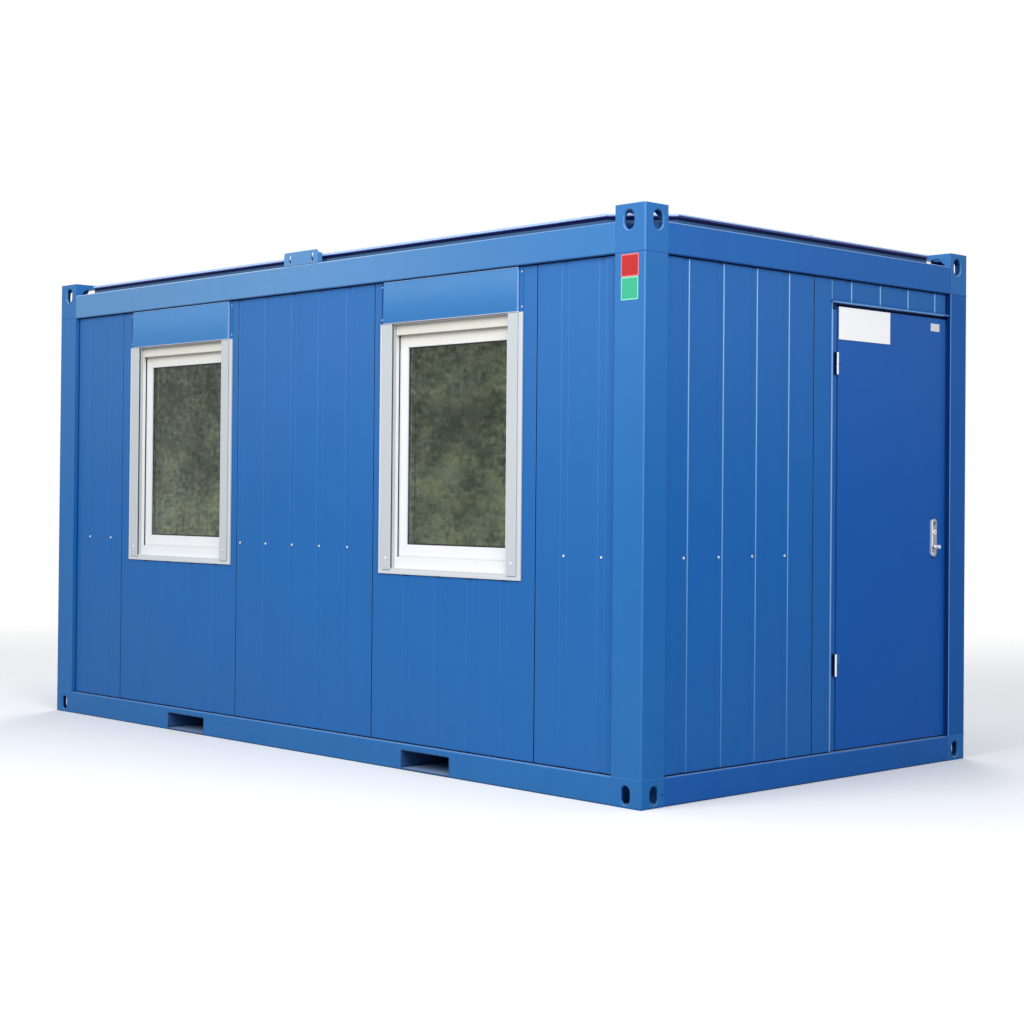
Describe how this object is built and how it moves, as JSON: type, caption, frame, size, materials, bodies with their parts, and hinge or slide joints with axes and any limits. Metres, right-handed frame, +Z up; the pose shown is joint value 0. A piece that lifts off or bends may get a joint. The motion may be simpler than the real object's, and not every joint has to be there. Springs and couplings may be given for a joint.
{
  "type": "container office cabin",
  "caption": "Steel framed container cabin with sandwich panel walls, shuttered windows on the long side and an outward opening door on the short end.",
  "frame": {"origin": "on the ground under the middle of the cabin", "axes": "+X along the length towards the door end, -Y out of the window wall, +Z up"},
  "size_m": [4.907, 2.435, 2.591],
  "materials": {
    "cabin_blue": "semi-gloss blue paint",
    "dark_band": "dark slate blue paint",
    "galvanised": "galvanised sheet steel",
    "deck_board": "grey sealed board",
    "ceiling_white": "matt white coating",
    "window_plastic": "white window plastic",
    "shutter_plastic": "light grey shutter plastic",
    "guide_aluminium": "light grey coated aluminium",
    "seal_rubber": "black sealing rubber",
    "spacer_aluminium": "satin aluminium",
    "clear_glass": "clear double glazing",
    "hinge_steel": "bright zinc plated steel",
    "lock_steel": "satin steel",
    "cylinder_steel": "polished nickel",
    "sign_white": "plain white film",
    "sign_silver": "plain satin aluminium"
  },
  "bodies": {
    "cabin": {"bottom_rail_front": "cabin_blue", "bottom_rail_back": "cabin_blue", "bottom_rail_door_end": "cabin_blue", "bottom_rail_far_end": "cabin_blue", "top_rail_front": "cabin_blue", "top_rail_back": "cabin_blue", "top_rail_door_end": "cabin_blue", "top_rail_far_end": "cabin_blue", "bottom_corner_front_door": "cabin_blue", "bottom_corner_front_far": "cabin_blue", "bottom_corner_back_door": "cabin_blue", "bottom_corner_back_far": "cabin_blue", "top_corner_front_door": "cabin_blue", "top_corner_front_far": "cabin_blue", "top_corner_back_door": "cabin_blue", "top_corner_back_far": "cabin_blue", "corner_posts": "cabin_blue", "stacking_brackets": "cabin_blue", "front_half_panels": "cabin_blue", "front_middle_panel": "cabin_blue", "front_window_panel_far": "cabin_blue", "front_window_panel_near": "cabin_blue", "back_wall_panels": "cabin_blue", "far_end_panels": "cabin_blue", "door_end_side_panels": "cabin_blue", "door_end_head_panel": "cabin_blue", "door_frame": "cabin_blue", "shutter_covers": "cabin_blue", "roof_edge_band": "dark_band", "roof_sheet": "galvanised", "roof_tray": "galvanised", "underfloor_sheet": "galvanised", "floor_joists": "galvanised", "fork_pocket_tubes": "galvanised", "floor_deck": "deck_board", "ceiling_panel": "ceiling_white", "window_frames": "window_plastic", "window_sashes": "window_plastic", "shutter_boxes": "shutter_plastic", "shutter_rolls": "shutter_plastic", "shutter_guides": "guide_aluminium", "window_trims": "guide_aluminium", "window_seals": "seal_rubber", "window_spacers": "spacer_aluminium", "window_glass": "clear_glass", "door_frame_hinges": "hinge_steel"},
    "door": {"door_leaf": "cabin_blue", "door_leaf_hinges": "hinge_steel", "door_lock_plates": "lock_steel", "door_lock_cylinder": "cylinder_steel", "door_sign_plate": "sign_white", "door_small_plate": "sign_silver"},
    "lever": {"door_lever": "lock_steel"}
  },
  "joints": [
    {"name": "door_hinge", "type": "hinge", "parent": "cabin", "child": "door", "pos_m": [2.4295, 0.1395, 1.19], "axis": [0, 0, -1], "range_deg": [0, 105]},
    {"name": "lever_turn", "type": "hinge", "parent": "door", "child": "lever", "pos_m": [2.4125, 0.9555, 1.092], "axis": [1, 0, 0], "range_deg": [0, 45], "stiffness_Nm_per_rad": 1.2, "springref_deg": -34.38}
  ]
}
